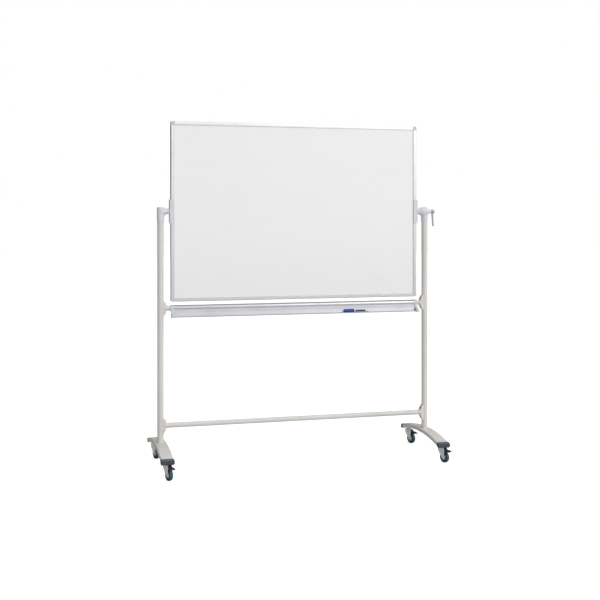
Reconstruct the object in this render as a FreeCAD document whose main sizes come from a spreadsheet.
"""Rolling, revolving whiteboard: a two-sided board that turns over between two posts on castors.

Axes: +X runs along the board to the right, -Y faces the writer, +Z is up. The floor is z = 0.
The origin is on the floor, at the middle of the box that the whole stand fills. The lever and
the trailing castors make that box lopsided, so mid_x and mid_y say where the stand's own middle
planes lie. Every part is modelled about a point of its own and placed from there.
"""
import FreeCAD, Part
import math
import os
import re

import Sketcher

Vector = FreeCAD.Vector
Rotation = FreeCAD.Rotation
Placement = FreeCAD.Placement
X_AXIS = Vector(1, 0, 0)
Y_AXIS = Vector(0, 1, 0)
Z_AXIS = Vector(0, 0, 1)

# ---------------------------------------------------------------- driving dimensions

DIMENSIONS = [
    ("mid_x", -14, "the stand's middle plane, left of the origin"),
    ("mid_y", 16, "the plane of the posts, behind the origin"),
    ("board_width", 1450, "outside of the frame"),
    ("board_height", 1000, "outside of the frame"),
    ("board_depth", 30, "front to back over the frame"),
    ("pivot_z", 1420, "height of the axis the board turns on"),
    ("rail_face", 20, "width of the frame seen from the front"),
    ("rail_web", 3, "outer wall of the frame's channel"),
    ("panel_depth", 22, "writing panel, both sheets included"),
    ("panel_inset", 4, "panel's edge, inside the frame's outside"),
    ("sheet_depth", 0.5, "enamelled steel sheet"),
    ("corner_size", 22, "side of a corner cap"),
    ("post_x", 781, "post's centre line, from the middle plane"),
    ("post_dia", 35, "round tube"),
    ("post_wall", 1.8, "round tube"),
    ("post_drop", 14, "post's top, below the pivot axis"),
    ("bar_dia", 28, "crossbars' round tube"),
    ("bar_wall", 1.5, "crossbars' round tube"),
    ("upper_bar_z", 884, "crossbar that carries the tray"),
    ("lower_bar_z", 236, "crossbar near the feet"),
    ("foot_top_z", 142.5, "crown of the arched foot"),
    ("foot_radius", 1297, "outer radius of the foot's arch"),
    ("foot_depth", 22.5, "thickness of the foot's tube"),
    ("foot_width", 70, "width of the foot's tube"),
    ("foot_wall", 2.2, "wall of the foot's tube"),
    ("foot_half", 285, "foot's end, from the post"),
    ("cap_long", 14, "foot's end cap, beyond the tube"),
    ("cap_sleeve", 9, "foot's end cap, over the tube"),
    ("cap_proud", 2.2, "foot's end cap, outside the tube all round"),
    ("stem_y", 259, "castor's stem, from the post"),
    ("stem_rad", 5, "castor's threaded stem"),
    ("boss_z", 89.5, "underside of the welded nut that takes the stem"),
    ("swivel", 20, "degrees that the castors are turned from straight ahead"),
    ("trail", 24, "wheel's axle, behind the stem"),
    ("wheel_rad", 31, "tyre's outside"),
    ("wheel_width", 21, "tyre's width"),
    ("tyre_bore", 16, "where the tyre meets the hub"),
    ("axle_rad", 4, "castor's axle"),
    ("fork_inside", 25, "between the cheeks"),
    ("fork_sheet", 2.5, "sheet of the fork"),
    ("crown_z", 84.5, "top of the fork's crown"),
    ("pedal_y", -12, "brake pedal's pin, from the stem"),
    ("pedal_z", 70, "brake pedal's pin"),
    ("plate_out", 7, "pivot plate, outside the frame"),
    ("plate_in", 19, "pivot plate, over the frame's face"),
    ("plate_half", 70, "half of the pivot plate's height"),
    ("plate_flange", 3.6, "pivot plate, in front of the frame's face"),
    ("shaft_rad", 8, "pivot shaft"),
    ("tray_end", 709.5, "tray's cut end, from the middle plane"),
    ("tray_cap", 15.5, "length of a tray end cap"),
    ("tray_front", 58, "tray's lip, in front of the crossbar's axis"),
    ("tray_floor", 46, "tray's floor, below the crossbar's axis"),
    ("marker_x", 328, "where the marker's cap ends and its barrel shows"),
    ("marker_rad", 10.5, "marker's barrel"),
]

document = FreeCAD.newDocument("rolling_whiteboard")
sheet = document.addObject("Spreadsheet::Sheet", "Params")
for row, (alias, size, meaning) in enumerate(DIMENSIONS, start=1):
    sheet.set(f"A{row}", str(size))
    sheet.setAlias(f"A{row}", alias)
    sheet.set(f"B{row}", meaning)
document.recompute()
ALIASES = {alias for alias, size, meaning in DIMENSIONS}


def linked(expression):
    """The expression with each of the sheet's words written out as Params.word."""
    return re.sub(
        r"[a-z_]+[a-z_0-9]*",
        lambda word: f"Params.{word.group()}" if word.group() in ALIASES else word.group(),
        str(expression),
    )


def number(expression):
    """The expression's value now, in millimetres or degrees."""
    return float(sheet.evalExpression(linked(expression)))


# ---------------------------------------------------------------- sketch and feature helpers


def new_body(label):
    body = document.addObject("PartDesign::Body", label)
    body.Label = label
    return body


def origin_plane(body, role):
    return next(f for f in body.Origin.OriginFeatures if f.Role == role)


def new_sketch(body, plane, name, lift="0"):
    """A sketch on one of the body's own planes, lifted along that plane's normal."""
    sketch = body.newObject("Sketcher::SketchObject", name)
    sketch.AttachmentSupport = [(origin_plane(body, plane), "")]
    sketch.MapMode = "FlatFace"
    sketch.setExpression("AttachmentOffset.Base.z", linked(lift))
    return sketch


def bind_point(sketch, geometry, end, across, up):
    """Hold one end of a line or arc at two of the sheet's expressions."""
    for kind, expression in (("DistanceX", across), ("DistanceY", up)):
        index = sketch.addConstraint(Sketcher.Constraint(kind, geometry, end, number(expression)))
        sketch.setExpression(f"Constraints[{index}]", linked(expression))


def draw_circle(sketch, across, up, radius):
    centre = Vector(number(across), number(up), 0)
    index = sketch.addGeometry(Part.Circle(centre, Z_AXIS, number(radius)), False)
    bind_point(sketch, index, 3, across, up)
    size = sketch.addConstraint(Sketcher.Constraint("Radius", index, number(radius)))
    sketch.setExpression(f"Constraints[{size}]", linked(radius))


def arc_centre(start, end, radius, left):
    """Centre of the short arc from start to end, with the centre on the path's left or right."""
    chord = end - start
    half = chord.Length / 2
    normal = Vector(-chord.y, chord.x, 0).normalize()
    reach = math.sqrt(max(radius**2 - half**2, 0))
    return start + chord * 0.5 + normal * (reach if left else -reach)


def draw_outline(sketch, corners):
    """A closed outline. Each corner is (across, up), or (across, up, radius, "left" or "right")
    where the side that arrives at it is an arc with its centre on that side of the path."""
    points = [Vector(number(c[0]), number(c[1]), 0) for c in corners]
    sides = []
    for i, corner in enumerate(corners):
        start, end = points[i - 1], points[i]
        if len(corner) == 2:
            sides.append((sketch.addGeometry(Part.LineSegment(start, end), False), 1, 2))
            continue
        radius, left = number(corner[2]), corner[3] == "left"
        centre = arc_centre(start, end, radius, left)
        first, last = (start, end) if left else (end, start)
        angles = [math.atan2(p.y - centre.y, p.x - centre.x) for p in (first, last)]
        circle = Part.Circle(centre, Z_AXIS, radius)
        index = sketch.addGeometry(Part.ArcOfCircle(circle, *angles), False)
        size = sketch.addConstraint(Sketcher.Constraint("Radius", index, radius))
        sketch.setExpression(f"Constraints[{size}]", linked(corner[2]))
        sides.append((index, 1, 2) if left else (index, 2, 1))
    for i, corner in enumerate(corners):
        this, after = sides[i], sides[(i + 1) % len(sides)]
        joint = Sketcher.Constraint("Coincident", this[0], this[2], after[0], after[1])
        sketch.addConstraint(joint)
        bind_point(sketch, this[0], this[2], corner[0], corner[1])


def draw_box(sketch, left, right, low, high):
    draw_outline(sketch, [(left, low), (right, low), (right, high), (left, high)])


def finish_feature(body, feature):
    body.Tip = feature
    document.recompute()
    if not feature.isValid():
        raise RuntimeError(f"{body.Label}: {feature.Name} failed")
    return feature


def pad(body, sketch, length, both_ways=False, backwards=False):
    feature = body.newObject("PartDesign::Pad", "Pad")
    feature.Profile = sketch
    feature.setExpression("Length", linked(length))
    feature.SideType = "Symmetric" if both_ways else "One side"
    feature.Reversed = backwards
    return finish_feature(body, feature)


def pocket(body, sketch, length, both_ways=False, backwards=False):
    """Cut the sketch out of the body, and make sure that it did cut something."""
    before = body.Shape.Volume
    feature = body.newObject("PartDesign::Pocket", "Pocket")
    feature.Profile = sketch
    feature.setExpression("Length", linked(length))
    feature.SideType = "Symmetric" if both_ways else "One side"
    feature.Reversed = backwards
    finish_feature(body, feature)
    if body.Shape.Volume > before - 0.01:
        raise RuntimeError(f"{body.Label}: a pocket cut nothing")
    return feature


def revolve(body, sketch, axis="H_Axis"):
    feature = body.newObject("PartDesign::Revolution", "Revolution")
    feature.Profile = sketch
    feature.ReferenceAxis = (sketch, [axis])
    feature.Angle = 360
    return finish_feature(body, feature)


def groove(body, sketch, axis="H_Axis"):
    before = body.Shape.Volume
    feature = body.newObject("PartDesign::Groove", "Groove")
    feature.Profile = sketch
    feature.ReferenceAxis = (sketch, [axis])
    feature.Angle = 360
    finish_feature(body, feature)
    if body.Shape.Volume > before - 0.01:
        raise RuntimeError(f"{body.Label}: a groove cut nothing")
    return feature


def round_edges(body, radius, wanted, kind="PartDesign::Fillet"):
    """Round (or bevel) the edges of the body for which wanted(edge) is true."""
    shape = body.Shape
    names = [f"Edge{i}" for i, edge in enumerate(shape.Edges, start=1) if wanted(edge)]
    base = body.Tip
    feature = body.newObject(kind, kind.split("::")[1])
    feature.Base = (base, names)
    if kind.endswith("Fillet"):
        feature.setExpression("Radius", linked(radius))
    else:
        feature.setExpression("Size", linked(radius))
    return finish_feature(body, feature)


def runs_along(edge, axis):
    """Is this a straight edge along the axis?"""
    straight = isinstance(edge.Curve, Part.Line)
    return straight and abs(abs(edge.tangentAt(edge.FirstParameter).dot(axis)) - 1) < 1e-6


def place(part, x="0", y="0", z="0", turn="0"):
    """Put a part where the sheet says, turned about +Z."""
    part.Placement = Placement(Vector(0, 0, 0), Rotation(Z_AXIS, 30))
    part.setExpression("Placement.Rotation.Angle", linked(turn))
    part.setExpression("Placement.Base.x", linked(f"mid_x + ({x})"))
    part.setExpression("Placement.Base.y", linked(f"mid_y + ({y})"))
    part.setExpression("Placement.Base.z", linked(z))
    document.recompute()
    NODES.append(part)
    return part


def copies(label, pattern, places):
    """One node of identical solids: the pattern's shape at each place, in the stand's own frame."""
    shapes = []
    for spot in places:
        shape = pattern.Shape.copy()
        shape.Placement = spot.multiply(pattern.Placement)
        shapes.append(shape)
    group = document.addObject("Part::Feature", label)
    group.Label = label
    group.Shape = Part.makeCompound(shapes)
    group.Placement = Placement(Vector(number("mid_x"), number("mid_y"), 0), Rotation())
    NODES.append(group)
    return group


def spot(x, y, z, turn=0, axis=Z_AXIS):
    """A place in the stand's own frame, from the sheet's expressions."""
    return Placement(Vector(number(x), number(y), number(z)), Rotation(axis, turn))


NODES = []
SIDES = [("left", -1, "0"), ("right", 1, "180")]

# ---------------------------------------------------------------- feet

FOOT_CENTRE = "(foot_top_z - foot_radius)"
FOOT_ANGLE = math.degrees(math.asin(number("foot_half / foot_radius")))


def foot_band(sketch, inset, reach):
    """The foot's side view: a band of two arcs with radial ends, reach degrees from the middle."""
    outer = f"(foot_radius - {inset})"
    inner = f"(foot_radius - foot_depth + {inset})"
    sine, cosine = f"sin({reach})", f"cos({reach})"
    draw_outline(
        sketch,
        [
            (f"-{outer} * {sine}", f"{FOOT_CENTRE} + {outer} * {cosine}"),
            (f"{outer} * {sine}", f"{FOOT_CENTRE} + {outer} * {cosine}", outer, "right"),
            (f"{inner} * {sine}", f"{FOOT_CENTRE} + {inner} * {cosine}"),
            (f"-{inner} * {sine}", f"{FOOT_CENTRE} + {inner} * {cosine}", inner, "left"),
        ],
    )


def make_foot(side, sign):
    """An arched flat tube with a welded nut near each end and a hole for the post's bolt."""
    body = new_body(f"{side}_foot")
    band = new_sketch(body, "YZ_Plane", "foot_side")
    foot_band(band, "0", f"{FOOT_ANGLE}")
    pad(body, band, "foot_width", both_ways=True)
    round_edges(body, "7", lambda e: isinstance(e.Curve, Part.Circle) and e.Length > 500)
    hollow = new_sketch(body, "YZ_Plane", "foot_hollow")
    foot_band(hollow, "foot_wall", f"{FOOT_ANGLE + 0.5}")
    pocket(body, hollow, "foot_width - 2 * foot_wall - 2", both_ways=True)
    nuts = new_sketch(body, "XY_Plane", "weld_nuts", lift="boss_z")
    for way in (-1, 1):
        draw_circle(nuts, "0", f"{way} * stem_y", "11")
    pad(body, nuts, "9")
    threads = new_sketch(body, "XY_Plane", "stem_threads", lift="boss_z + 12")
    for way in (-1, 1):
        draw_circle(threads, "0", f"{way} * stem_y", "stem_rad + 0.05")
    pocket(body, threads, "20")
    bolt = new_sketch(body, "XY_Plane", "bolt_hole", lift="foot_top_z + 5")
    draw_circle(bolt, "0", "0", "5.3")
    pocket(body, bolt, "40")
    place(body, x=f"{sign} * post_x")


def cap_block(cap, name, grow, length, backwards):
    """A block round the end of the foot's tube, larger than the tube by grow on each side."""
    face = new_sketch(cap, "XZ_Plane", name)
    half_wide, half_deep = f"(foot_width / 2 + {grow})", f"(foot_depth / 2 + {grow})"
    draw_box(face, f"-{half_wide}", half_wide, f"-{half_deep}", half_deep)
    return pad(cap, face, length, backwards=backwards)


def make_foot_caps():
    """Moulded caps with a sleeve and a plug, pushed on to the four ends of the feet."""
    cap = new_body("foot_cap_pattern")
    cap_block(cap, "cap_end", "cap_proud", "cap_long", True)
    cap_block(cap, "cap_sleeve", "cap_proud", "cap_sleeve", False)
    round_edges(cap, "8", lambda e: runs_along(e, Y_AXIS))
    end = number("cap_long")
    round_edges(cap, "3", lambda e: abs(e.CenterOfMass.y - end) < 0.01)
    cavity = new_sketch(cap, "XZ_Plane", "cap_cavity")
    half_wide, half_deep = "(foot_width / 2 + 0.15)", "(foot_depth / 2 + 0.15)"
    draw_box(cavity, f"-{half_wide}", half_wide, f"-{half_deep}", half_deep)
    pocket(cap, cavity, "cap_sleeve + 1", backwards=True)
    plug = new_sketch(cap, "XZ_Plane", "cap_plug")
    half_wide = "(foot_width / 2 - foot_wall - 1.3)"
    half_deep = "(foot_depth / 2 - foot_wall - 0.5)"
    draw_box(plug, f"-{half_wide}", half_wide, f"-{half_deep}", half_deep)
    pad(cap, plug, "10")
    middle = number("foot_radius - foot_depth / 2")
    angle = math.radians(FOOT_ANGLE)
    height = number(FOOT_CENTRE) + middle * math.cos(angle)
    places = []
    for side, sign, turn in SIDES:
        for way in (0, 180):
            reach = middle * math.sin(angle) * (1 if way == 0 else -1)
            turned = Rotation(Z_AXIS, way).multiply(Rotation(X_AXIS, -FOOT_ANGLE))
            places.append(Placement(Vector(sign * number("post_x"), reach, height), turned))
    copies("foot_end_caps", cap, places)


# ---------------------------------------------------------------- posts and crossbars


def make_post(side, sign, turn):
    """Round tube with the screw holes of two brackets and of its head."""
    body = new_body(f"{side}_post")
    ring = new_sketch(body, "XY_Plane", "post_section", lift="foot_top_z")
    draw_circle(ring, "0", "0", "post_dia / 2")
    draw_circle(ring, "0", "0", "post_dia / 2 - post_wall")
    pad(body, ring, "pivot_z - post_drop - foot_top_z")
    holes = new_sketch(body, "YZ_Plane", "bracket_holes", lift="post_dia / 2 + 1")
    for bar in ("upper_bar_z", "lower_bar_z"):
        for offset in ("+ 24.6", "- 24.6"):
            draw_circle(holes, "0", f"{bar} {offset}", "2.6")
    pocket(body, holes, "8")
    cross = new_sketch(body, "XZ_Plane", "head_screw_hole")
    draw_circle(cross, "0", "pivot_z - 38", "3.1")
    pocket(body, cross, "post_dia + 4", both_ways=True)
    place(body, x=f"{sign} * post_x", turn=turn)


def make_post_fixings():
    """A threaded plug inside each post's lower end, and the bolt that comes up through the foot."""
    plug = new_body("post_plug_pattern")
    section = new_sketch(plug, "XY_Plane", "plug_section")
    draw_circle(section, "0", "0", "post_dia / 2 - post_wall - 0.05")
    draw_circle(section, "0", "0", "5.05")
    pad(plug, section, "30")
    spots = [spot(f"{sign} * post_x", "0", "foot_top_z + 0.2") for side, sign, turn in SIDES]
    copies("post_plugs", plug, spots)
    bolt = new_body("foot_bolt_pattern")
    shape = new_sketch(bolt, "XZ_Plane", "bolt_half")
    draw_outline(
        shape,
        [
            ("0", "-6"),
            ("7", "-6"),
            ("8.5", "-4.5"),
            ("8.5", "0"),
            ("5", "0"),
            ("5", "48"),
            ("4", "50"),
            ("0", "50"),
        ],
    )
    revolve(bolt, shape, "V_Axis")
    under = "foot_top_z - foot_depth - 0.15"
    copies("foot_bolts", bolt, [spot(f"{sign} * post_x", "0", under) for side, sign, turn in SIDES])


def make_crossbar(label, height):
    body = new_body(label)
    ring = new_sketch(body, "YZ_Plane", "bar_section")
    draw_circle(ring, "0", "0", "bar_dia / 2")
    draw_circle(ring, "0", "0", "bar_dia / 2 - bar_wall")
    pad(body, ring, "2 * (post_x - post_dia / 2 - 2.5)", both_ways=True)
    place(body, z=height)


def bracket_places():
    """Both ends of both crossbars, each bracket facing the middle."""
    places = []
    for side, sign, turn in SIDES:
        for height in ("upper_bar_z", "lower_bar_z"):
            places.append(spot(f"{sign} * post_x", "0", height, float(turn)))
    return places


def make_brackets():
    """Cast saddles between post and crossbar, each with a socket for the bar and two screws."""
    body = new_body("bracket_pattern")
    side_view = new_sketch(body, "XZ_Plane", "bracket_side")
    draw_outline(
        side_view,
        [
            ("8", "-43"),
            ("post_dia / 2 + 1.2", "-43"),
            ("post_dia / 2 + 4", "-39"),
            ("post_dia / 2 + 13", "-19"),
            ("post_dia / 2 + 13", "19"),
            ("post_dia / 2 + 4", "39"),
            ("post_dia / 2 + 1.2", "43"),
            ("8", "43"),
        ],
    )
    pad(body, side_view, "31", both_ways=True)
    outer = number("post_dia / 2 + 1")
    round_edges(body, "3", lambda e: not runs_along(e, Y_AXIS) and e.CenterOfMass.x > outer)
    collar = new_sketch(body, "YZ_Plane", "socket", lift="post_dia / 2 + 3")
    draw_circle(collar, "0", "0", "bar_dia / 2 + 3")
    pad(body, collar, "15")
    saddle = new_sketch(body, "XY_Plane", "saddle")
    draw_circle(saddle, "0", "0", "post_dia / 2 + 0.05")
    pocket(body, saddle, "120", both_ways=True)
    bore = new_sketch(body, "YZ_Plane", "bar_bore", lift="post_dia / 2 + 30")
    draw_circle(bore, "0", "0", "bar_dia / 2 + 0.05")
    pocket(body, bore, "28")
    for name, radius, depth in (("screw_seats", "5.2", "21.5"), ("screw_holes", "2.6", "40")):
        holes = new_sketch(body, "YZ_Plane", name, lift="post_dia / 2 + 30")
        for up in ("24.6", "-24.6"):
            draw_circle(holes, "0", up, radius)
        pocket(body, holes, depth)
    copies("crossbar_brackets", body, bracket_places())


def make_bracket_screws():
    """Pan-head screws, two to a bracket, through the post's wall."""
    body = new_body("bracket_screw_pattern")
    half = new_sketch(body, "XZ_Plane", "screw_half")
    seat = "(post_dia / 2 + 8.6)"
    draw_outline(
        half,
        [
            ("post_dia / 2 - 8", "0"),
            (f"{seat} + 4.4", "0"),
            (f"{seat} + 4.4", "2"),
            (f"{seat} + 1.6", "4.6", "4", "left"),
            (seat, "4.6"),
            (seat, "2.5"),
            ("post_dia / 2 - 8", "2.5"),
        ],
    )
    revolve(body, half, "H_Axis")
    places = []
    for place_now in bracket_places():
        for up in (24.6, -24.6):
            places.append(Placement(Vector(0, 0, up), Rotation()).multiply(place_now))
    copies("bracket_screws", body, places)


# ---------------------------------------------------------------- heads that carry the board

HEAD_END = "46.5"
HEAD_BORE = "(shaft_rad + 2.05)"


def head_socket(body, radius, top):
    """The vertical part of a head: a cup over the post's top, drawn in to the tube at its rim."""
    half = new_sketch(body, "XZ_Plane", "socket_half")
    draw_outline(
        half,
        [
            ("0", "-58"),
            ("post_dia / 2 + 1.2", "-58"),
            (radius, "-44"),
            (radius, f"{top} - 5"),
            (f"{radius} - 5", top, "5", "left"),
            ("0", top),
        ],
    )
    revolve(body, half, "V_Axis")


def head_bores(body, shaft_from, shaft_to):
    """Room for the post's top, for the bush that the shaft turns in, and for the fixing screw."""
    cup = new_sketch(body, "XY_Plane", "post_bore", lift="-70")
    draw_circle(cup, "0", "0", "post_dia / 2 + 0.05")
    pocket(body, cup, "70 - post_drop + 0.5", backwards=True)
    sleeve = new_sketch(body, "YZ_Plane", "bush_bore", lift=shaft_from)
    draw_circle(sleeve, "0", "0", HEAD_BORE)
    pocket(body, sleeve, f"{shaft_from} - ({shaft_to})")
    screw = new_sketch(body, "XZ_Plane", "fixing_hole", lift="-post_dia")
    draw_circle(screw, "0", "-38", "3.1")
    pocket(body, screw, "post_dia - 10", backwards=True)


def make_left_head():
    """Die-cast elbow: a cup on the post and a trumpet arm towards the board."""
    body = new_body("left_head")
    head_socket(body, "(post_dia / 2 + 2.2)", "23")
    arm = new_sketch(body, "XZ_Plane", "arm_half")
    draw_outline(
        arm,
        [
            ("0", "0"),
            (HEAD_END, "0"),
            (HEAD_END, "15.5"),
            ("36", "15"),
            ("15", "21", "42", "right"),
            ("0", "21"),
        ],
    )
    revolve(body, arm, "H_Axis")
    web = new_sketch(body, "XZ_Plane", "web")
    draw_outline(
        web,
        [("15", "-8"), ("36", "-8"), ("36", "-14"), ("20", "-34", "26", "left"), ("15", "-34")],
    )
    pad(body, web, "9", both_ways=True)
    head_bores(body, HEAD_END, "-12")
    place(body, x="-post_x", z="pivot_z")


def make_right_head():
    """Die-cast elbow with a domed barrel, and a threaded neck for the clamping lever."""
    body = new_body("right_head")
    head_socket(body, "(post_dia / 2 + 2.4)", "12")
    barrel = new_sketch(body, "XZ_Plane", "barrel_half")
    draw_outline(
        barrel,
        [
            (f"-{HEAD_END}", "0"),
            ("42", "0"),
            ("42", "9.8"),
            ("41", "10.8"),
            ("28", "10.8"),
            ("21", "18", "9", "right"),
            ("4", "26", "24", "left"),
            ("-8", "26"),
            ("-32", "18.5", "34", "left"),
            (f"-{HEAD_END}", "16.5"),
        ],
    )
    revolve(body, barrel, "H_Axis")
    head_bores(body, "14", f"-{HEAD_END} - 1")
    thread = new_sketch(body, "YZ_Plane", "clamp_thread", lift="45")
    draw_circle(thread, "0", "0", "5.05")
    pocket(body, thread, "40")
    place(body, x="post_x", z="pivot_z")


def make_head_screws():
    """A set screw behind each head holds it on its post."""
    body = new_body("head_screw_pattern")
    half = new_sketch(body, "XZ_Plane", "screw_half")
    draw_outline(
        half,
        [("0", "0"), ("4.6", "0"), ("4.6", "-2.4"), ("3", "-2.4"), ("3", "-9.5"), ("0", "-9.5")],
    )
    revolve(body, half, "V_Axis")
    back = Rotation(X_AXIS, -90)
    places = []
    for side, sign, turn in SIDES:
        at = Vector(sign * number("post_x"), number("post_dia / 2 + 2.4 + 2.6"), number("pivot_z - 38"))
        places.append(Placement(at, back))
    copies("head_set_screws", body, places)


def make_bushes():
    """Flanged plastic sleeves that the pivot shafts turn in, one in each head."""
    body = new_body("bush_pattern")
    half = new_sketch(body, "XZ_Plane", "bush_half")
    draw_outline(
        half,
        [
            ("-6", "shaft_rad + 0.05"),
            (f"{HEAD_END} + 2", "shaft_rad + 0.05"),
            (f"{HEAD_END} + 2", "13"),
            (HEAD_END, "13"),
            (HEAD_END, f"{HEAD_BORE} - 0.03"),
            ("-6", f"{HEAD_BORE} - 0.03"),
        ],
    )
    revolve(body, half, "H_Axis")
    places = [spot(f"{sign} * post_x", "0", "pivot_z", float(turn)) for side, sign, turn in SIDES]
    copies("pivot_bushes", body, places)


def make_clamp_pad():
    """Friction pad that the lever's screw presses on the end of the right shaft."""
    body = new_body("clamp_pad")
    disc = new_sketch(body, "YZ_Plane", "disc", lift="8.3")
    draw_circle(disc, "0", "0", "shaft_rad + 1.8")
    pad(body, disc, "3.6")
    place(body, x="post_x", z="pivot_z")


def make_clamp_screw():
    """The lever's threaded spindle: its head has the teeth that the lever's hub grips."""
    body = new_body("clamp_screw")
    half = new_sketch(body, "XZ_Plane", "spindle_half")
    draw_outline(
        half,
        [
            ("12.2", "0"),
            ("44", "0"),
            ("44", "3.5"),
            ("50.8", "3.5"),
            ("50.8", "6"),
            ("44", "6"),
            ("44", "4.95"),
            ("13.2", "4.95"),
            ("12.2", "3.9"),
        ],
    )
    revolve(body, half, "H_Axis")
    place(body, x="post_x", z="pivot_z")
    screw = new_body("lever_screw")
    shank = new_sketch(screw, "XZ_Plane", "screw_half")
    draw_outline(
        shank,
        [
            ("44.2", "0"),
            ("63.4", "0"),
            ("63.4", "1.6"),
            ("62.9", "5"),
            ("61.4", "5"),
            ("61.4", "2.5"),
            ("54", "2.5"),
            ("54", "3.45"),
            ("44.2", "3.45"),
        ],
    )
    revolve(screw, shank, "H_Axis")
    place(screw, x="post_x", z="pivot_z")


def make_clamp_lever():
    """Die-cast lever: a round hub over the spindle's teeth and a tapered arm that hangs from it."""
    body = new_body("clamp_lever")
    hub = new_sketch(body, "XZ_Plane", "hub_half")
    draw_outline(
        hub,
        [
            ("42.6", "0"),
            ("62", "0"),
            ("62", "6.6"),
            ("58", "10.4", "8", "left"),
            ("50", "12.4", "16", "left"),
            ("43.4", "9.4", "11", "left"),
            ("42.6", "8.4"),
        ],
    )
    revolve(body, hub, "H_Axis")
    arm = new_sketch(body, "XZ_Plane", "arm_front")
    draw_outline(
        arm,
        [
            ("43.8", "-6"),
            ("50.9", "-78"),
            ("49.6", "-82"),
            ("59.8", "-82", "5.1", "left"),
            ("58.2", "-78"),
            ("54.4", "-6"),
        ],
    )
    pad(body, arm, "9", both_ways=True)
    round_edges(body, "2", lambda e: e.CenterOfMass.z < -14 and not runs_along(e, Y_AXIS))
    bore = new_sketch(body, "XZ_Plane", "hub_bore_half")
    draw_outline(
        bore,
        [
            ("41", "0"),
            ("63", "0"),
            ("63", "5.6"),
            ("54", "5.6"),
            ("54", "3.6"),
            ("51.2", "3.6"),
            ("51.2", "6.08"),
            ("41", "6.08"),
        ],
    )
    groove(body, bore, "H_Axis")
    place(body, x="post_x", z="pivot_z")


def make_lever_spring():
    """Coil spring between the lever's web and its screw: it pulls the lever back on the teeth."""
    wire, turns, length = 0.35, 5, 6.4
    coil_radius = 4.3
    helix = Part.makeHelix(length / turns, length, coil_radius)
    section = Part.Wire(Part.makeCircle(wire, Vector(coil_radius, 0, 0), Y_AXIS))
    coil = Part.Wire(helix).makePipeShell([section], True, True)
    spring = document.addObject("Part::Feature", "lever_spring")
    spring.Label = "lever_spring"
    spring.Shape = coil
    at = Vector(number("mid_x + post_x + 54.5"), number("mid_y"), number("pivot_z"))
    spring.Placement = Placement(at, Rotation(Y_AXIS, 90))
    NODES.append(spring)


# ---------------------------------------------------------------- the board

BOARD_HALF = "(board_width / 2)"
BOARD_LOW = "(pivot_z - board_height / 2)"
BOARD_HIGH = "(pivot_z + board_height / 2)"


def rail_section(sketch):
    """Channel section, from its outside at zero inwards, with two grooves along each face."""
    half, slot = "(board_depth / 2)", "(panel_depth / 2 + 0.1)"
    draw_outline(
        sketch,
        [
            ("4", f"-{half}", "4", "left"),
            ("14.6", f"-{half}"),
            ("15.2", f"-{half} + 0.7"),
            ("15.8", f"-{half}"),
            ("rail_face - 1", f"-{half}"),
            ("rail_face", f"-{half} + 1"),
            ("rail_face", f"-{slot}"),
            ("rail_web", f"-{slot}"),
            ("rail_web", slot),
            ("rail_face", slot),
            ("rail_face", f"{half} - 1"),
            ("rail_face - 1", half),
            ("15.8", half),
            ("15.2", f"{half} - 0.7"),
            ("14.6", half),
            ("4", half),
            ("0", f"{half} - 4", "4", "left"),
            ("0", f"-{half} + 4"),
        ],
    )


def make_side_rail(side, sign, turn):
    body = new_body(f"{side}_rail")
    section = new_sketch(body, "XY_Plane", "rail_section")
    rail_section(section)
    pad(body, section, "board_height - 2 * corner_size")
    holes = new_sketch(body, "YZ_Plane", "plate_screw_holes", lift="-1")
    for up in PLATE_SCREWS:
        draw_circle(holes, "0", f"board_height / 2 - corner_size + ({up})", "2.05")
    pocket(body, holes, "5", backwards=True)
    place(body, x=f"{sign} * board_width / 2", z=f"{BOARD_LOW} + corner_size", turn=turn)


def make_cross_rail(label, height, roll):
    """Top or bottom rail: the same channel, laid along the board."""
    body = new_body(label)
    section = new_sketch(body, "XY_Plane", "rail_section")
    rail_section(section)
    pad(body, section, "board_width - 2 * corner_size", both_ways=True)
    body.Placement = Placement(Vector(0, 0, 0), Rotation(Y_AXIS, roll))
    body.setExpression("Placement.Base.x", linked("mid_x"))
    body.setExpression("Placement.Base.y", linked("mid_y"))
    body.setExpression("Placement.Base.z", linked(height))
    document.recompute()
    NODES.append(body)


def make_corner_caps():
    """Moulded corners over the rails' cut ends, each slotted for the panel's corner."""
    body = new_body("corner_pattern")
    outline = new_sketch(body, "XZ_Plane", "corner_face")
    draw_outline(
        outline,
        [
            ("7", "0", "7", "left"),
            ("corner_size", "0"),
            ("corner_size", "corner_size"),
            ("0", "corner_size"),
            ("0", "7"),
        ],
    )
    pad(body, outline, "board_depth + 1", both_ways=True)
    front = number("board_depth / 2 + 0.5")
    round_edges(body, "1.6", lambda e: abs(abs(e.CenterOfMass.y) - front) < 0.01)
    slot = new_sketch(body, "XZ_Plane", "panel_slot")
    draw_box(slot, "panel_inset - 0.5", "corner_size + 1", "panel_inset - 0.5", "corner_size + 1")
    pocket(body, slot, "panel_depth + 0.2", both_ways=True)
    places = []
    for roll, sign, up in (
        (0, "-", BOARD_LOW),
        (-90, "", BOARD_LOW),
        (180, "", BOARD_HIGH),
        (90, "-", BOARD_HIGH),
    ):
        places.append(spot(f"{sign}{BOARD_HALF}", "0", up, roll, Y_AXIS))
    copies("board_corner_caps", body, places)


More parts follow.
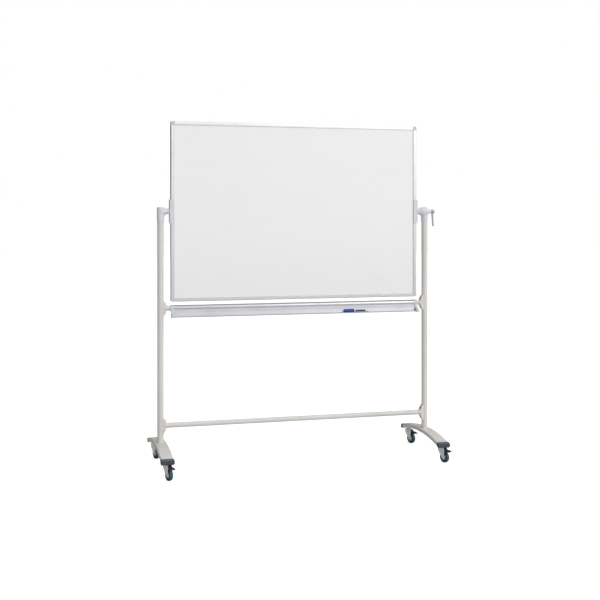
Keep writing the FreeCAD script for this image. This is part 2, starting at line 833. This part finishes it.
def make_panel():
    """Honeycomb core with an enamelled steel sheet bonded to each side."""
    across = f"({BOARD_HALF} - panel_inset)"
    low, high = f"{BOARD_LOW} + panel_inset", f"{BOARD_HIGH} - panel_inset"
    core_depth = "(panel_depth - 2 * sheet_depth)"
    for label, depth, y in (
        ("board_core", core_depth, "0"),
        ("front_sheet", "sheet_depth", f"-{core_depth} / 2 - sheet_depth / 2"),
        ("back_sheet", "sheet_depth", f"{core_depth} / 2 + sheet_depth / 2"),
    ):
        body = new_body(label)
        outline = new_sketch(body, "XZ_Plane", "panel_outline")
        draw_box(outline, f"-{across}", across, low, high)
        pad(body, outline, depth, both_ways=True)
        place(body, y=y)


PLATE_SCREWS = ("-52", "-28", "28", "52")


def make_pivot_plate(side, sign, turn):
    """Clamp shell round the frame's stile, with the shaft's seat and four countersunk screws."""
    body = new_body(f"{side}_pivot_plate")
    outline = new_sketch(body, "XZ_Plane", "plate_outline")
    draw_box(outline, "-plate_out", "plate_in", "-plate_half", "plate_half")
    pad(body, outline, "board_depth + 2 * plate_flange", both_ways=True)
    round_edges(body, "12", lambda e: runs_along(e, Y_AXIS))
    outer = number("board_depth / 2 + plate_flange")
    round_edges(body, "2.6", lambda e: abs(abs(e.CenterOfMass.y) - outer) < 0.01)
    channel = new_sketch(body, "XZ_Plane", "stile_channel")
    draw_box(channel, "0", "plate_in + 1", "-plate_half - 1", "plate_half + 1")
    pocket(body, channel, "board_depth + 0.06", both_ways=True)
    seat = new_sketch(body, "YZ_Plane", "shaft_seat", lift="1")
    draw_circle(seat, "0", "0", "11.1")
    pocket(body, seat, "4.2")
    hole = new_sketch(body, "YZ_Plane", "shaft_hole", lift="1")
    draw_circle(hole, "0", "0", "shaft_rad + 0.02")
    pocket(body, hole, "plate_out + 4")
    for name, radius, depth in (("screw_holes", "2.6", "plate_out + 4"), ("screw_heads", "4.7", "5.25")):
        lift = "1" if name == "screw_holes" else "-plate_out - 1"
        sketch = new_sketch(body, "YZ_Plane", name, lift=lift)
        for up in PLATE_SCREWS:
            draw_circle(sketch, "0", up, radius)
        pocket(body, sketch, depth, backwards=(name == "screw_heads"))
    place(body, x=f"{sign} * board_width / 2", z="pivot_z", turn=turn)


def make_plate_screws():
    """Screws from the outside of each pivot plate into the frame's web."""
    body = new_body("plate_screw_pattern")
    half = new_sketch(body, "XZ_Plane", "screw_half")
    head = "(plate_out - 2.1)"
    draw_outline(
        half,
        [
            (f"-{head}", "0"),
            ("3.4", "0"),
            ("3.4", "2"),
            ("0", "2"),
            ("0", "2.5"),
            (f"-{head} + 2.1", "2.5"),
            (f"-{head} + 2.1", "4.6"),
            (f"-{head} + 1", "4.6"),
            (f"-{head}", "3.2"),
        ],
    )
    revolve(body, half, "H_Axis")
    places = []
    for side, sign, turn in SIDES:
        for up in PLATE_SCREWS:
            places.append(spot(f"{sign} * board_width / 2", "0", f"pivot_z + ({up})", float(turn)))
    copies("pivot_plate_screws", body, places)


def make_pivot_shafts():
    """Steel shafts riveted into the pivot plates; each reaches over a post's top, inside its head."""
    body = new_body("shaft_pattern")
    half = new_sketch(body, "XZ_Plane", "shaft_half")
    tip = "(post_x - board_width / 2 + 8)"
    draw_outline(
        half,
        [
            ("-0.1", "0"),
            ("-0.1", "11"),
            ("-3.1", "11"),
            ("-3.1", "shaft_rad"),
            (f"-{tip} + 1", "shaft_rad"),
            (f"-{tip}", "shaft_rad - 1"),
            (f"-{tip}", "0"),
        ],
    )
    revolve(body, half, "H_Axis")
    ends = [(f"{sign} * board_width / 2", float(turn)) for side, sign, turn in SIDES]
    copies("pivot_shafts", body, [spot(x, "0", "pivot_z", turn) for x, turn in ends])


# ---------------------------------------------------------------- tray and marker


def make_tray():
    """Extruded tray: a hook over the crossbar, a sloping back and a trough with a low lip."""
    body = new_body("tray")
    section = new_sketch(body, "YZ_Plane", "tray_section")
    inner, outer = "(bar_dia / 2 + 0.2)", "(bar_dia / 2 + 2.2)"
    floor = "-tray_floor"
    draw_outline(
        section,
        [
            (f"{inner} * cos(25)", f"-{inner} * sin(25)", inner, "right"),
            (f"{outer} * cos(25)", f"-{outer} * sin(25)"),
            ("0", outer, outer, "left"),
            (f"-{outer}", "0", outer, "left"),
            (f"-{outer}", "-8"),
            ("-31", "-26"),
            ("-34.5", floor),
            ("2 - tray_front", floor),
            ("2 - tray_front", f"{floor} + 3.5"),
            ("-tray_front", f"{floor} + 3.5"),
            ("-tray_front", f"{floor} + 1"),
            ("3 - tray_front", f"{floor} - 2", "3", "left"),
            ("-32.6", f"{floor} - 2"),
            ("-29", "-27"),
            (f"-{inner}", "-8.8"),
            (f"-{inner}", "0"),
            ("0", inner, inner, "right"),
        ],
    )
    pad(body, section, "2 * tray_end", both_ways=True)
    place(body, z="upper_bar_z")


def make_tray_cap(side, sign, turn):
    """Moulded end cap: a ring that the crossbar runs through and a cheek that ends the trough."""
    body = new_body(f"{side}_tray_cap")
    ring = new_sketch(body, "YZ_Plane", "cap_ring")
    draw_circle(ring, "0", "0", "bar_dia / 2 + 4")
    pad(body, ring, "tray_cap")
    cheek = new_sketch(body, "YZ_Plane", "cap_cheek")
    draw_outline(
        cheek,
        [
            ("-bar_dia / 2 - 4", "0"),
            ("-bar_dia / 2 - 4", "-5"),
            ("-38", "-25"),
            ("-tray_front - 1", "-37"),
            ("-tray_front - 1.5", "-tray_floor - 1"),
            ("-tray_front + 2.5", "-tray_floor - 5", "4", "left"),
            ("-31", "-tray_floor - 5"),
            ("-24", "-tray_floor", "9", "left"),
            ("-6", "-17"),
        ],
    )
    pad(body, cheek, "tray_cap")
    bore = new_sketch(body, "YZ_Plane", "cap_bore", lift="tray_cap + 1")
    draw_circle(bore, "0", "0", "bar_dia / 2 + 0.1")
    pocket(body, bore, "tray_cap + 4")
    screw = new_sketch(body, "YZ_Plane", "cap_screw_hole", lift="tray_cap + 1")
    draw_circle(screw, "-tray_front + 6", "-tray_floor + 2.5", "1.8")
    pocket(body, screw, "tray_cap + 4")
    if side == "left":
        place(body, x="-tray_end - tray_cap", z="upper_bar_z")
    else:
        place(body, x="tray_end", z="upper_bar_z")


def make_tray_screws():
    """A dark screw through each tray end cap, at its lower front corner."""
    body = new_body("tray_screw_pattern")
    half = new_sketch(body, "XZ_Plane", "screw_half")
    draw_outline(
        half,
        [
            ("-14", "0"),
            ("3.2", "0"),
            ("3.2", "1.4"),
            ("1.4", "3.4", "2.8", "left"),
            ("0", "3.4"),
            ("0", "1.75"),
            ("-14", "1.75"),
        ],
    )
    revolve(body, half, "H_Axis")
    at = ("-tray_front + 6", "upper_bar_z - tray_floor + 2.5")
    reach = "(tray_end + tray_cap)"
    copies(
        "tray_cap_screws",
        body,
        [spot(reach, at[0], at[1]), spot(f"-{reach}", at[0], at[1], 180)],
    )


MARKER_Y = "(-tray_front + 2 + marker_rad + 0.7)"
MARKER_Z = "(upper_bar_z - tray_floor + marker_rad + 0.35)"


def make_marker():
    """Dry-wipe marker: barrel with a closed tail, a felt nib, and a cap that pulls off the front."""
    parts = {
        "marker_barrel": [
            ("-9", "0"),
            ("90", "0"),
            ("90", "4"),
            ("86", "marker_rad - 1", "7.5", "left"),
            ("82", "marker_rad"),
            ("0.3", "marker_rad"),
            ("0.3", "7"),
            ("-6", "7"),
            ("-7", "5"),
            ("-9", "5"),
        ],
        "marker_nib": [
            ("-22", "0"),
            ("-9.02", "0"),
            ("-9.02", "3.2"),
            ("-17", "3.2"),
            ("-22", "1.4", "7", "left"),
        ],
        "marker_cap": [
            ("-57.5", "0"),
            ("-57.5", "7.4"),
            ("-55.5", "marker_rad - 1.2", "2.2", "right"),
            ("0", "marker_rad + 0.3"),
            ("0", "7.35"),
            ("-30", "7"),
            ("-36", "0"),
        ],
    }
    for label, corners in parts.items():
        body = new_body(label)
        half = new_sketch(body, "XZ_Plane", "marker_half")
        draw_outline(half, corners)
        revolve(body, half, "H_Axis")
        place(body, x="marker_x", y=MARKER_Y, z=MARKER_Z)


# ---------------------------------------------------------------- castors

CASTORS = [
    ("front_left", "-post_x", "-stem_y"),
    ("front_right", "post_x", "-stem_y"),
    ("rear_left", "-post_x", "stem_y"),
    ("rear_right", "post_x", "stem_y"),
]
# A castor is drawn with its stem on the Z axis and its wheel trailing towards -Y.


def make_stems():
    """Threaded stem with the flange that the fork turns under and the rivet head that holds it."""
    body = new_body("stem_pattern")
    half = new_sketch(body, "XZ_Plane", "stem_half")
    flange = "(boss_z - 0.1)"
    draw_outline(
        half,
        [
            ("0", "crown_z - 5.5"),
            ("6.5", "crown_z - 5.5"),
            ("8", "crown_z - 4.5"),
            ("8", "crown_z - 2.8"),
            ("stem_rad", "crown_z - 2.8"),
            ("stem_rad", f"{flange} - 1.5"),
            ("10.5", f"{flange} - 1.5"),
            ("10.5", flange),
            ("stem_rad", flange),
            ("stem_rad", "111"),
            ("stem_rad - 1", "112"),
            ("0", "112"),
        ],
    )
    revolve(body, half, "V_Axis")
    copies("castor_stems", body, [spot(x, y, "0") for name, x, y in CASTORS])


def make_fork(name, x, y):
    """Pressed fork: a crown that turns on the stem and two cheeks down to the axle."""
    body = new_body(f"{name}_fork")
    side_view = new_sketch(body, "YZ_Plane", "cheek")
    draw_outline(
        side_view,
        [
            ("12", "crown_z", "5", "left"),
            ("-20", "crown_z"),
            ("-33", "crown_z - 13", "13", "left"),
            ("-33", "62"),
            ("-trail - 9.5", "wheel_rad"),
            ("-trail + 7", "wheel_rad - 6.4", "9.5", "left"),
            ("17", "66"),
            ("17", "crown_z - 5"),
        ],
    )
    pad(body, side_view, "fork_inside + 2 * fork_sheet", both_ways=True)
    top = number("crown_z")
    round_edges(body, "2", lambda e: runs_along(e, Y_AXIS) and abs(e.CenterOfMass.z - top) < 0.01)
    inside = new_sketch(body, "YZ_Plane", "between_cheeks")
    draw_box(inside, "-60", "60", "0", "crown_z - fork_sheet")
    pocket(body, inside, "fork_inside", both_ways=True)
    mouth = new_sketch(body, "YZ_Plane", "rear_mouth")
    draw_box(mouth, "-60", "-25", "0", "crown_z + 1")
    pocket(body, mouth, "fork_inside", both_ways=True)
    race = new_sketch(body, "XY_Plane", "race", lift="crown_z")
    draw_circle(race, "0", "0", "14")
    pad(body, race, "3.1")
    bore = new_sketch(body, "XY_Plane", "stem_bore", lift="crown_z + 5")
    draw_circle(bore, "0", "0", "stem_rad + 0.08")
    pocket(body, bore, "12")
    holes = new_sketch(body, "YZ_Plane", "pin_holes")
    draw_circle(holes, "-trail", "wheel_rad", "axle_rad + 0.03")
    draw_circle(holes, "pedal_y", "pedal_z", "2.58")
    pocket(body, holes, "60", both_ways=True)
    place(body, x=x, y=y, turn="swivel")


AXLE_END = "(fork_inside / 2 + fork_sheet + 0.05)"


def make_wheel(name, x, y):
    """Axle riveted through the fork, moulded hub, and the tyre bonded to it."""
    outlines = {
        "axle": [
            (f"-{AXLE_END} - 2.6", "0"),
            (f"{AXLE_END} + 2.6", "0"),
            (f"{AXLE_END} + 2.6", "3"),
            (AXLE_END, "6.5", "6", "left"),
            (AXLE_END, "axle_rad"),
            (f"-{AXLE_END}", "axle_rad"),
            (f"-{AXLE_END}", "6.5"),
            (f"-{AXLE_END} - 2.6", "3", "6", "left"),
        ],
        "hub": [
            ("-11.8", "axle_rad + 0.06"),
            ("11.8", "axle_rad + 0.06"),
            ("11.8", "7.5"),
            ("10.8", "8.5"),
            ("4", "9.4"),
            ("3", "11.8"),
            ("9", "13.6"),
            ("9", "tyre_bore"),
            ("-9", "tyre_bore"),
            ("-9", "13.6"),
            ("-3", "11.8"),
            ("-4", "9.4"),
            ("-10.8", "8.5"),
            ("-11.8", "7.5"),
        ],
        "tyre": [
            ("-9", "tyre_bore"),
            ("9", "tyre_bore"),
            ("wheel_width / 2", "tyre_bore + 2.5"),
            ("wheel_width / 2", "wheel_rad - 5.5"),
            ("wheel_width / 2 - 5", "wheel_rad - 0.3", "5.2", "left"),
            ("5 - wheel_width / 2", "wheel_rad - 0.3", "60", "left"),
            ("-wheel_width / 2", "wheel_rad - 5.5", "5.2", "left"),
            ("-wheel_width / 2", "tyre_bore + 2.5"),
        ],
    }
    for label, corners in outlines.items():
        body = new_body(f"{name}_{label}")
        half = new_sketch(body, "XZ_Plane", f"{label}_half")
        draw_outline(half, corners)
        revolve(body, half, "H_Axis")
        turned_x = f"({x}) + trail * sin(swivel)"
        turned_y = f"({y}) - trail * cos(swivel)"
        place(body, x=turned_x, y=turned_y, z="wheel_rad", turn="swivel")


def make_pedal(name, x, y):
    """Foot brake: a plate hinged between the cheeks, with a shoe that comes down on the tyre."""
    body = new_body(f"{name}_brake_pedal")
    side_view = new_sketch(body, "YZ_Plane", "pedal_side")
    draw_outline(
        side_view,
        [
            ("-10", "78.4"),
            ("-46", "72.4"),
            ("-66", "68"),
            ("-69", "65.5", "3.4", "left"),
            ("-66.5", "64.4"),
            ("-46", "69.2"),
            ("-40", "69.6"),
            ("-39", "66.8"),
            ("-31", "67.2"),
            ("-29", "71.2"),
            ("-17.2", "72"),
            ("-10", "72"),
        ],
    )
    pad(body, side_view, "fork_inside - 1.2", both_ways=True)
    tread = new_sketch(body, "YZ_Plane", "pedal_tread")
    draw_outline(
        tread,
        [
            ("-43", "72.8"),
            ("-46", "73.2"),
            ("-66", "69"),
            ("-70.5", "65.6", "4.4", "left"),
            ("-67", "63.4"),
            ("-46", "68.2"),
            ("-43", "68.6"),
        ],
    )
    pad(body, tread, "fork_inside + 2.5", both_ways=True)
    barrel = new_sketch(body, "YZ_Plane", "pedal_barrel")
    draw_circle(barrel, "pedal_y", "pedal_z", "4.8")
    pad(body, barrel, "fork_inside - 1.2", both_ways=True)
    pins = new_sketch(body, "YZ_Plane", "pedal_pins")
    draw_circle(pins, "pedal_y", "pedal_z", "2.5")
    pad(body, pins, "fork_inside + 2 * fork_sheet + 1.6", both_ways=True)
    place(body, x=x, y=y, turn="swivel")


# ---------------------------------------------------------------- build, check and write

for side, sign, turn in SIDES:
    make_foot(side, sign)
    make_post(side, sign, turn)
    make_side_rail(side, sign, turn)
    make_pivot_plate(side, sign, turn)
    make_tray_cap(side, sign, turn)
make_foot_caps()
make_post_fixings()
make_crossbar("upper_crossbar", "upper_bar_z")
make_crossbar("lower_crossbar", "lower_bar_z")
make_brackets()
make_bracket_screws()
make_left_head()
make_right_head()
make_head_screws()
make_bushes()
make_clamp_pad()
make_clamp_screw()
make_clamp_lever()
make_lever_spring()
make_cross_rail("top_rail", BOARD_HIGH, 90)
make_cross_rail("bottom_rail", BOARD_LOW, -90)
make_corner_caps()
make_panel()
make_plate_screws()
make_pivot_shafts()
make_tray()
make_tray_screws()
make_marker()
make_stems()
for name, x, y in CASTORS:
    make_fork(name, x, y)
    make_wheel(name, x, y)
    make_pedal(name, x, y)

document.recompute()
for item in document.Objects:
    if {"Invalid", "Error"} & set(item.State):
        raise RuntimeError(f"{item.Label} failed: {item.State}")
os.makedirs("parts", exist_ok=True)
box = FreeCAD.BoundBox()
for node in NODES:
    shape = node.Shape
    if shape.isNull() or not shape.isValid():
        raise RuntimeError(f"{node.Label}: its shape is null or not valid")
    shape.exportStep(f"parts/{node.Label}.step")
    box.add(shape.optimalBoundingBox(False))
    print(f"{node.Label}: {len(shape.Solids)} solid(s), {shape.Volume / 1000:.1f} cm3")
for axis, low, high in (
    ("x", box.XMin, box.XMax),
    ("y", box.YMin, box.YMax),
    ("z", box.ZMin, box.ZMax),
):
    print(f"{axis}: {low:.1f} to {high:.1f} mm")
print(f"{len(NODES)} nodes")
